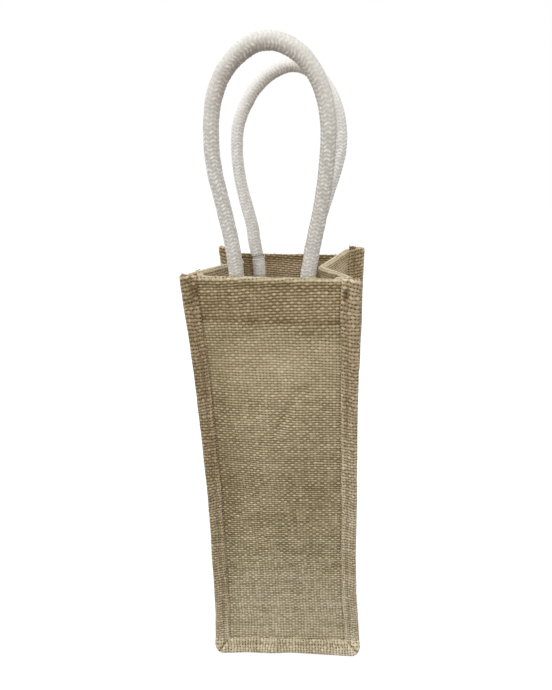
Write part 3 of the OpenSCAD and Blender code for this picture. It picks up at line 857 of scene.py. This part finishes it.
# loose fibres: frayed ends where the bands were cut at the mouth, and hairs of the jute
fibres = {
    "edgeAt": 61.2, "lowest": 14, "hairRadius": 0.085, "hairs": 210, "lengths": (2.0, 5.5),
    "hairCurl": 0.5, "frayCurl": 0.35,
    "shares": {"edge": 0.45, "rim": 0.25, "face": 0.3},
    # tufts: across, height over the straight rim, offset from the panel, spread, how many, length, lean, thickness
    "front": [
        (-59.0, 1.4, 0, 0.7, 14, 2.6, (0.0, 0), 0.22), (-55.5, 1.6, 0, 2.6, 12, 1.8, (0, 0), 0.18),
        (-50.2, 2.2, 0, 0.9, 16, 2.6, (0.2, 0), 0.20), (-52.4, 2.6, -9.0, 0.5, 6, 4.2, (1.8, -0.1), 0.13),
        (57, 1.8, 0, 3.2, 12, 1.5, (0, 0), 0.16),
    ],
    "back": [
        (51.8, 2.2, -1.2, 2.2, 80, 3.4, (-0.15, -0.2), 0.28), (58.5, 3.2, 0, 2.2, 10, 1.5, (0, 0), 0.16),
        (-59, 3.2, 0, 2.0, 10, 1.8, (-0.1, 0), 0.16),
    ],
}


def fibreTubes(starts, ways, lengths, radius, curl):
    # one thin bent tube for each start
    share, ways = np.linspace(0, 1, 7), unit(ways)[:, None]
    bend = unit(dice.normal(size=(len(starts), 3)))[:, None]
    bend = bend - (bend * ways).sum(2, keepdims=True) * ways
    s = share[:, None]
    centre = starts[:, None] + lengths[:, None, None] * (s * ways + curl * s ** 2 * bend - 0.3 * curl * s ** 3 * ways)
    way = unit(np.gradient(centre, axis=1))
    cross = unit(np.cross(way, unit(dice.normal(size=(len(starts), 1, 3)))))
    return tubes(centre, cross, np.cross(cross, way), radius * (1 - 0.6 * share ** 2)[None], 5)


def makeFray(name, face, tufts):
    rows = []
    for across, up, off, wide, count, length, (leanX, leanY), radius in tufts:
        across, off = across + dice.uniform(-wide, wide, count), off + dice.uniform(-1.0, 1.0, count)
        base = wallPoint(across, rimUp + up, off, face)
        way = [dice.normal(leanX, 0.45, count), dice.normal(leanY, 0.45, count), dice.uniform(0.5, 1.0, count)]
        lengths = length * dice.uniform(0.5, 1.1, count)
        rows.append(fibreTubes(settle(base), np.stack(way, 1), lengths, radius, fibres["frayCurl"]))
    return joinRows(name, rows, [])


def makeHairs():
    rows, edgeAt, lowest = [], fibres["edgeAt"], fibres["lowest"]
    for face in (-1, 1):
        for kind, share in fibres["shares"].items():
            n = int(fibres["hairs"] * share)
            edge, rim, inner = dice.choice((-edgeAt, edgeAt), n), dice.uniform(-47, 47, n), dice.uniform(-58, 58, n)
            a = {"edge": edge, "rim": rim, "face": inner}[kind]
            edge, inner = dice.uniform(lowest, rimUp, n), dice.uniform(lowest, rimUp - 4, n)
            b = {"edge": edge, "rim": np.full(n, rimUp + 1.2), "face": inner}[kind]
            edge = np.sign(a)[:, None] * [1, 0, 0]
            out = {"edge": edge, "rim": [[0, 0, 1.0]], "face": [[0, face * 0.5, 0.0]]}[kind]
            off = np.where(np.abs(a) > 49, binding["half"] + 0.1, wall["cloth"]) if kind == "face" else np.zeros(n)
            sink = wall["backSink"] if face > 0 and kind == "rim" else 0
            way = out + dice.normal(0, 0.7, (n, 3)) * (1, 0.3 if kind == "face" else 0.7, 1)
            lengths = dice.uniform(*fibres["lengths"], n) * (0.4 + 0.6 * after(b, 20, 100))  # shorter at the foot
            base = settle(wallPoint(a, b - sink, off, face))
            rows.append(fibreTubes(base, way, lengths, fibres["hairRadius"], fibres["hairCurl"]))
    return joinRows("juteHairs", rows, [])


frontFray = makeFray("frontFray", -1, fibres["front"])
backFray = makeFray("backFray", 1, fibres["back"])
juteHairs = makeHairs()
tacks = [
    ropeTack(word + hand.capitalize() + "Tack", ropes[word], side, word + "_" + hand + "_tack")
    for word in ("front", "back") for side, hand in ((-1, "left"), (1, "right"))
]
print("ropes and stitches made")

stitches = [
    frontBindingStitches, backBindingStitches, frontHemStitches, backHemStitches, leftHemStitches, rightHemStitches,
]
bindings = [frontBinding, backBinding]
for piece in [frontPanel, backPanel, gussetStrip, *bindings, *stitches, frontFray, backFray, juteHairs, *tacks]:
    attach(piece, "bag")


# materials
class Wire:
    # a node's output, on which sums are written as on numbers: each adds a Math node
    def __init__(self, tree, socket):
        self.tree, self.socket = tree, socket

    def __add__(self, other):
        return calc("ADD", self, other)

    def __sub__(self, other):
        return calc("SUBTRACT", self, other)

    def __rsub__(self, other):
        return calc("SUBTRACT", other, self)

    def __mul__(self, other):
        return calc("MULTIPLY", self, other)

    def __truediv__(self, other):
        return calc("DIVIDE", self, other)


def addNode(tree, kind, ins=(), **settings):
    node = tree.nodes.new(kind)
    for word, value in settings.items():
        setattr(node, word, value)
    for spot, value in (ins.items() if isinstance(ins, dict) else enumerate(ins)):
        if isinstance(value, Wire):
            tree.links.new(value.socket, node.inputs[spot])
        else:
            node.inputs[spot].default_value = value
    return node


def wire(tree, kind, ins=(), out=0, **settings):
    return Wire(tree, addNode(tree, kind, ins, **settings).outputs[out])


def treeOf(*values):
    return next(value.tree for value in values if isinstance(value, Wire))


def calc(way, *ins, clamp=False):
    return wire(treeOf(*ins), "ShaderNodeMath", ins, operation=way, use_clamp=clamp)


def vectorCalc(way, *ins):
    return wire(treeOf(*ins), "ShaderNodeVectorMath", ins, operation=way)


def joinAxes(tree, x, y, z):
    return wire(tree, "ShaderNodeCombineXYZ", [x, y, z])


def noise(vector, scale, detail, out=0):
    return wire(vector.tree, "ShaderNodeTexNoise", {"Vector": vector, "Scale": scale, "Detail": detail}, out)


def spread(value, low, high, toLow=0.0, toHigh=1.0, **settings):
    return wire(value.tree, "ShaderNodeMapRange", [value, low, high, toLow, toHigh], **settings)


def mark(tree, word):
    return wire(tree, "ShaderNodeAttribute", out="Fac", attribute_name=word)


def blendColour(share, a, b, way="MIX"):
    ins = {0: share, 6: a, 7: b}
    ins = {spot: (*value, 1) if isinstance(value, tuple) else value for spot, value in ins.items()}
    return wire(treeOf(share, a, b), "ShaderNodeMix", ins, 2, data_type="RGBA", blend_type=way, clamp_factor=True)


def screen(red, green, blue):
    # a colour as seen on screen, 0 to 255, in the linear values that shaders take
    return tuple(((c / 255 + 0.055) / 1.055) ** 2.4 for c in (red, green, blue))


def newGroup(name, ins, outs):
    group = bpy.data.node_groups.new(name, "ShaderNodeTree")
    for word, value in ins.items():
        kind = "NodeSocketVector" if value is None else "NodeSocketFloat"
        socket = group.interface.new_socket(name=word, in_out="INPUT", socket_type=kind)
        if value is not None:
            socket.default_value = value
    for word in outs:
        group.interface.new_socket(name=word, in_out="OUTPUT", socket_type="NodeSocketFloat")
    given = {socket.name: Wire(group, socket) for socket in group.nodes.new("NodeGroupInput").outputs}
    return group, given, group.nodes.new("NodeGroupOutput").inputs


weaveShape = {
    "drift": ((0.10, 3.2), (0.45, 1.3)),  # how fine the yarns' wandering is, and how many yarns it moves them
    # seed, half width, height of the floats and roundness
    "weft": (17.3, 0.47, 0.20, 0.56), "warp": (91.7, 0.48, 0.38, 0.14),
    "floatPush": 1.8, "floatBase": 0.55, "slubStretch": 0.19, "slubWidth": 0.22, "bottom": -0.45,
    # the even weave: its level, its holes and the dips beside the weft and the warp
    "evenLevel": 0.74, "holes": (0.42, 0.95), "holeDepths": (0.33, 0.67, 0.25, 1.85), "dips": (0.10, 0.12),
    # fibres: length, fineness, twist and height
    "fibre": (1.6, 9.0, 0.35, 0.2), "tones": (0.34, 0.30, 0.25),  # of the yarn, its fibres and each float
    # each yarn's own share of its width and tone beside its slubs, and how its section rounds and ends
    "ownWidth": (0.4, 0.7), "ownTone": (0.35, 0.65), "openNarrows": 0.35, "slubApart": 3.71,
    "round": 1.1, "gapBelow": 0.02,
}


def makeWeaveGroup(shape):
    # plain weave of uneven yarns: weft runs across, warp runs up
    g, given, result = newGroup(
        "plainWeave",
        {
            "Cloth": None, "Warp Yarns": 395.0, "Weft Yarns": 481.0, "Wander": 0.5, "Slub": 0.5, "Openness": 0.2,
            "Evenness": 0.0,
        },
        ["Height", "Tone", "Weft"],
    )
    yarns = vectorCalc("MULTIPLY", given["Cloth"], joinAxes(g, given["Warp Yarns"], given["Weft Yarns"], 0.0))
    moved = yarns
    for size, much in shape["drift"]:
        drift = vectorCalc("SUBTRACT", noise(yarns, size, 2.0, "Color"), (0.5, 0.5, 0.5))
        drift = wire(g, "ShaderNodeVectorMath", {0: drift, "Scale": given["Wander"] * much}, operation="SCALE")
        moved = vectorCalc("ADD", moved, drift)
    split = addNode(g, "ShaderNodeSeparateXYZ", [moved]).outputs
    u, v = Wire(g, split[0]), Wire(g, split[1])
    iu, iv = calc("FLOOR", u), calc("FLOOR", v)
    fu, fv = u - iu - 0.5, v - iv - 0.5
    sign = 1.0 - calc("FLOORED_MODULO", iu + iv, 2.0) * 2.0
    archWeft = calc("TANH", calc("COSINE", fu * math.pi) * sign * shape["floatPush"]) + shape["floatBase"]
    archWarp = calc("COSINE", fv * math.pi) * (sign * -1.0)
    (ownWidth, halfSwing), (ownTone, slubTone) = shape["ownWidth"], shape["ownTone"]
    surfaces, tones = [], []
    for across, run, index, arch, word in ((fv, u, iv, archWeft, "weft"), (fu, v, iu, archWarp, "warp")):
        seed, width, climb, plump = shape[word]
        own = wire(g, "ShaderNodeTexWhiteNoise", {"W": index + seed}, "Value", noise_dimensions="1D")
        slub = noise(joinAxes(g, run * shape["slubStretch"], index * shape["slubApart"], seed), 1.0, 2.0)
        swing = (own * ownWidth + slub - halfSwing) * given["Slub"]
        ratio = across / (width - given["Openness"] * shape["openNarrows"] + swing * shape["slubWidth"])
        rounded = calc("POWER", calc("MAXIMUM", 1.0 - ratio * ratio, 0.0), shape["round"])
        level = arch * climb + rounded * plump
        surfaces.append(level - calc("LESS_THAN", rounded, shape["gapBelow"]) * 2.0)
        tones.append(own * ownTone + slub * slubTone)
    weft = calc("GREATER_THAN", *surfaces)
    height = calc("MAXIMUM", calc("MAXIMUM", *surfaces), shape["bottom"])
    # where the yarns lie even, only the small holes between them show
    edges = [calc("ABSOLUTE", f) * 2.0 for f in (fu, fv)]
    near = [spread(edge, *shape["holes"], interpolation_type="SMOOTHSTEP") for edge in edges]
    depth = noise(joinAxes(g, u, v, 4.7), 0.7, 1.0)
    even = shape["evenLevel"] - near[0] * near[1] * spread(depth, *shape["holeDepths"])
    for edge, much in zip(edges, shape["dips"]):
        even = even - calc("POWER", edge, 4.0) * much
    height = height + given["Evenness"] * (even - height)
    # fibres, twisted a little against each yarn, and every float a little different
    long, fine, twist, rise = shape["fibre"]
    spots = ((u * long, (v + u * twist) * fine), ((u + v * twist) * fine, v * long))
    strands = [noise(joinAxes(g, x, y, 0.0), 1.0, 2.0) for x, y in spots]
    own = wire(g, "ShaderNodeTexWhiteNoise", {"Vector": joinAxes(g, iu, iv, 0.0)}, "Value", noise_dimensions="2D")
    fibre = strands[1] + weft * (strands[0] - strands[1])
    yarn = tones[1] + weft * (tones[0] - tones[1])
    ofYarn, ofFibre, ofFloat = shape["tones"]
    g.links.new((yarn * ofYarn + fibre * ofFibre + own * ofFloat).socket, result["Tone"])
    g.links.new((height + (fibre - 0.5) * rise).socket, result["Height"])
    g.links.new(weft.socket, result["Weft"])
    return g


plainWeave = makeWeaveGroup(weaveShape)


def newMaterial(name, roughness, specular, sheen):
    # a material with its shader and output, which finishMaterial() joins up
    material = bpy.data.materials.new(name)
    material.use_nodes = True
    tree = material.node_tree
    tree.nodes.clear()
    finish = {"Roughness": roughness, "Specular IOR Level": specular, "Sheen Weight": sheen, "Sheen Roughness": 0.6}
    shader = addNode(tree, "ShaderNodeBsdfPrincipled", finish)
    addNode(tree, "ShaderNodeOutputMaterial", [Wire(tree, shader.outputs[0])])
    return material, tree, shader


def finishMaterial(shader, colour, height, strength, distance):
    tree = colour.tree
    bump = wire(tree, "ShaderNodeBump", {"Height": height, "Strength": strength, "Distance": distance})
    tree.links.new(colour.socket, shader.inputs["Base Color"])
    tree.links.new(bump.socket, shader.inputs["Normal"])


juteLook = {
    "finish": (0.9, 0.15, 0.05),  # roughness, gloss and sheen
    "Warp Yarns": 395.0, "Weft Yarns": 481.0, "Wander": 0.35, "Slub": 0.6, "Openness": 0.06,  # yarns a metre
    "yarnContrast": 0.5, "blotches": 0.05, "blotchScale": 60.0, "bump": 0.8, "bumpDepth": 0.0008, "middle": 0.64,
    "levels": (-0.45, 1.06), "russet": (0.58, 0.80, 0.0, 0.5), "russetScale": 160.0, "warm": (0.97, 0.85, 0.80),
    # how the colour goes from the holes to the crowns of the yarns, as seen on screen: painted shade deep in the
    # holes and gaps, painted highlight on the crowns
    "ramp": [
        (0.0, (57, 43, 20)), (1.0, (218, 206, 180)),
        (0.5, (117, 104, 71)), (0.69, (163, 150, 118)), (0.86, (195, 183, 154)),
    ],
}


def juteCloth(name, **changes):
    look = {**juteLook, **changes}
    material, tree, shader = newMaterial(name, *look["finish"])
    cloth = wire(tree, "ShaderNodeUVMap", uv_map="cloth")
    ins = {word: look[word] for word in ("Warp Yarns", "Weft Yarns", "Wander", "Slub", "Openness")}
    ins.update({"Cloth": cloth, "Evenness": mark(tree, "even")})
    weave = addNode(tree, "ShaderNodeGroup", ins, node_tree=plainWeave)
    height, yarnTone = Wire(tree, weave.outputs["Height"]), Wire(tree, weave.outputs["Tone"])
    # the weave's height sets the colour too: painted shade low between the yarns, painted highlight on their crowns
    value = spread(height, *look["levels"]) + (yarnTone - 0.5) * look["yarnContrast"]
    value = (value - look["middle"]) * (mark(tree, "crisp") + 1.0) + look["middle"]
    value = value + (noise(cloth, look["blotchScale"], 4.0) - 0.5) * look["blotches"]
    ramp = addNode(tree, "ShaderNodeValToRGB", [calc("ADD", value, mark(tree, "tone") - 0.5, clamp=True)])
    stops = ramp.color_ramp.elements
    for i, (place, colour) in enumerate(look["ramp"]):
        stop = stops[i] if i < 2 else stops.new(place)
        stop.position = place
        stop.color = (*screen(*colour), 1)
    russet = spread(noise(cloth, look["russetScale"], 2.0), *look["russet"])
    russet = calc("ADD", russet, mark(tree, "warm"), clamp=True)
    colour = blendColour(russet, Wire(tree, ramp.outputs[0]), look["warm"], "MULTIPLY")
    finishMaterial(shader, colour, height, look["bump"], look["bumpDepth"])
    return material


panelJute = juteCloth("panelJute")
sideJute = juteCloth("sideJute", Wander=0.45)
bindingRamp = [(place, (red, green, blue + 3)) for place, (red, green, blue) in juteLook["ramp"]]
bindingJute = juteCloth(
    "bindingJute", ramp=bindingRamp, **{"Warp Yarns": 455.0, "Weft Yarns": 366.0, "Wander": 0.75, "Openness": 0.12},
)


threadLook = {
    "finish": (0.8, 0.2, 0.05), "fibreScale": 900.0, "bump": (0.6, 0.0002),
    # darkest and lightest, as seen on screen
    "colours": {
        "juteThread": ((112, 95, 66), (170, 152, 118)), "juteFibre": ((96, 72, 42), (178, 150, 108)),
        "cottonThread": ((176, 171, 160), (222, 218, 210)),
    },
}


def threadMaterial(name):
    dark, light = threadLook["colours"][name]
    material, tree, shader = newMaterial(name, *threadLook["finish"])
    fibre = noise(wire(tree, "ShaderNodeTexCoord", out="Object"), threadLook["fibreScale"], 3.0)
    finishMaterial(shader, blendColour(fibre, screen(*dark), screen(*light)), fibre, *threadLook["bump"])
    return material


juteThread, juteFibre, cottonThread = map(threadMaterial, threadLook["colours"])

cottonLook = {
    "finish": (0.85, 0.15, 0.15), "fibreScale": 2600.0, "spotScale": 55.0, "bump": (0.5, 0.00015),
    # colours as seen on screen: the grooves' colour is painted shade, the ridges' painted highlight, the whitest
    # painted light; and the painted shade that browns the underside of the bend and the front rope's right leg
    "groove": (175, 171, 164), "body": (213, 210, 203), "ridge": (239, 237, 232), "warm": (213, 205, 196),
    "paintedLight": (250, 249, 247), "under": (0.85, 0.785, 0.73),
    # where each comes over the one before: from, to, least and most
    "bodyOver": (0.05, 0.95), "ridgeOver": (0.6, 1.0, 0.0, 0.7), "warmOver": (0.55, 0.85, 0.0, 0.30),
    "grooveOver": (0.3, 0.75, 0.14, 0.0), "paintedLightOver": (0.1, 0.8, 0.42, 0.88),
}


def ropeMaterial():
    look = cottonLook
    material, tree, shader = newMaterial("cottonBraid", *look["finish"])
    words = ("groove", "body", "ridge", "warm", "paintedLight")
    groove, body, ridge, warm, paintedLight = (screen(*look[word]) for word in words)
    cloth = wire(tree, "ShaderNodeUVMap", uv_map="cloth")
    relief, fibre = mark(tree, "relief"), noise(cloth, look["fibreScale"], 3.0)
    # the braid goes from painted shade in its grooves to painted highlight on its ridges
    colour = blendColour(spread(relief, *look["bodyOver"]), groove, body)
    colour = blendColour(spread(relief, *look["ridgeOver"]), colour, ridge)
    colour = blendColour(spread(noise(cloth, look["spotScale"], 3.0), *look["warmOver"]), colour, warm)
    colour = blendColour(spread(fibre, *look["grooveOver"]), colour, groove)
    # painted light whitens the crest's upper side, the ends in the mouth and the back rope
    colour = blendColour(mark(tree, "paintedLight") * spread(relief, *look["paintedLightOver"]), colour, paintedLight)
    # painted shade under the bend and down the front rope's right leg
    colour = blendColour(mark(tree, "under"), colour, look["under"], "MULTIPLY")
    finishMaterial(shader, colour, fibre, *look["bump"])
    return material


finishes = [
    (panelJute, [frontPanel, backPanel]), (sideJute, [gussetStrip]), (bindingJute, bindings),
    (ropeMaterial(), [frontRope, backRope]), (juteThread, [*stitches, juteHairs]),
    (juteFibre, [frontFray, backFray]), (cottonThread, tacks),
]
for material, pieces in finishes:
    for piece in pieces:
        piece.data.materials.clear()
        piece.data.materials.append(material)
print("materials made")

# studio: pale floor, soft light from the front, the left and the rear
studio = {
    "floorHalf": 3.0, "floorDrop": 0.0004, "floorShade": 0.42, "floorGlow": 0.74, "aim": (0, 0, 0.22),
    "worldLight": 0.72, "worldColour": (1.0, 0.99, 0.97, 1),
    # lamps: place, size, power and colour
    "lamps": {
        "keyLamp": ((0.35, -0.95, 1.40), 0.9, 9.5, (1.0, 0.99, 0.975)),
        "fillLamp": ((-1.0, -0.6, 0.85), 0.9, 4.8, (0.98, 0.99, 1.0)),
        "rearLamp": ((-0.35, 1.05, 1.25), 1.1, 6.0, (1.0, 0.995, 0.985)),
    },
}


def seenStraight(tree):
    # 1 for what the camera sees, also in a gloss or through glass
    path = addNode(tree, "ShaderNodeLightPath").outputs
    words = ("Is Camera Ray", "Is Glossy Ray", "Is Transmission Ray")
    camera, glossy, clear = (Wire(tree, path[word]) for word in words)
    return calc("MAXIMUM", camera, calc("MAXIMUM", glossy, clear))


def makeStudio():
    white = (1, 1, 1, 1)
    mesh = bpy.data.meshes.new("floor")
    s = studio["floorHalf"]
    mesh.from_pydata([(-s, -s, 0), (s, -s, 0), (s, s, 0), (-s, s, 0)], [], [(0, 1, 2, 3)])
    floor = bpy.data.objects.new("floor", mesh)
    floor.location.z = -studio["floorDrop"]
    scene.collection.objects.link(floor)
    material = bpy.data.materials.new("paleFloor")
    material.use_nodes = True
    tree = material.node_tree
    tree.nodes.clear()
    diffuse = wire(tree, "ShaderNodeBsdfDiffuse", {"Color": (studio["floorShade"],) * 3 + (1,)})
    glow = wire(tree, "ShaderNodeEmission", {"Color": white, "Strength": seenStraight(tree) * studio["floorGlow"]})
    addNode(tree, "ShaderNodeOutputMaterial", [wire(tree, "ShaderNodeAddShader", [diffuse, glow])])
    mesh.materials.append(material)
    world = bpy.data.worlds.new("studio")
    scene.world = world
    world.use_nodes = True
    tree = world.node_tree
    tree.nodes.clear()
    soft = wire(tree, "ShaderNodeBackground", {"Color": studio["worldColour"], "Strength": studio["worldLight"]})
    backdrop = wire(tree, "ShaderNodeBackground", {"Color": white, "Strength": 1.0})
    mixed = wire(tree, "ShaderNodeMixShader", [seenStraight(tree), soft, backdrop])
    addNode(tree, "ShaderNodeOutputWorld", [mixed])
    for name, (place, size, power, colour) in studio["lamps"].items():
        lamp = bpy.data.lights.new(name, "AREA")
        lamp.shape, lamp.size, lamp.energy, lamp.color = "DISK", size, power, colour
        holder = bpy.data.objects.new(name, lamp)
        holder.location = place
        holder.rotation_euler = (Vector(studio["aim"]) - Vector(place)).to_track_quat("-Z", "Y").to_euler()
        scene.collection.objects.link(holder)


makeStudio()
scene.view_settings.view_transform = "Standard"
print("studio made")
